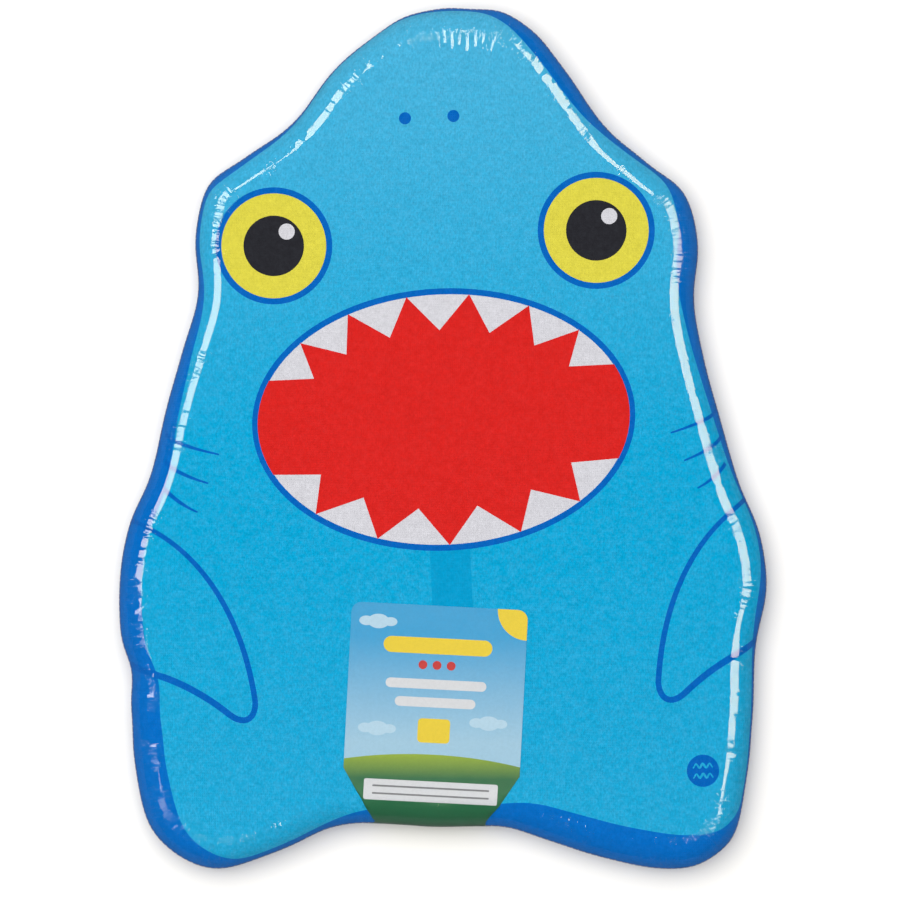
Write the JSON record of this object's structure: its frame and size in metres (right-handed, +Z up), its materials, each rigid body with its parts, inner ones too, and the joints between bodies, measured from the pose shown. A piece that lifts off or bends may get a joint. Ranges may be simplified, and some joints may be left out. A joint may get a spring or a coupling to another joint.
{
  "type": "kickboard float",
  "caption": "Child's flat swimming kickboard with a shark-shaped outline, rounded rail and fabric covers over a foam core, in a clear shrink-wrap bag with a folded card.",
  "frame": {"origin": "middle of the underside, at the centre of the plan outline", "axes": "+Z up out of the printed face, +Y to the nose, +X to the right seen from above"},
  "size_m": [0.324, 0.432, 0.034],
  "materials": {
    "bead_foam": "moulded expanded bead foam, matt white",
    "printed_fabric": "printed stretch knit, light blue ground with a yellow, red, white and black picture",
    "plain_fabric": "plain deep blue stretch knit",
    "sewing_thread": "deep blue spun thread",
    "coated_card": "printed card with a semi-gloss coating",
    "clear_film": "clear glossy shrink film"
  },
  "bodies": {
    "root": {"foam_core": "bead_foam", "top_cover": "printed_fabric", "bottom_cover": "plain_fabric", "seam_thread": "sewing_thread", "label_card": "coated_card", "shrink_film": "clear_film"}
  },
  "joints": []
}
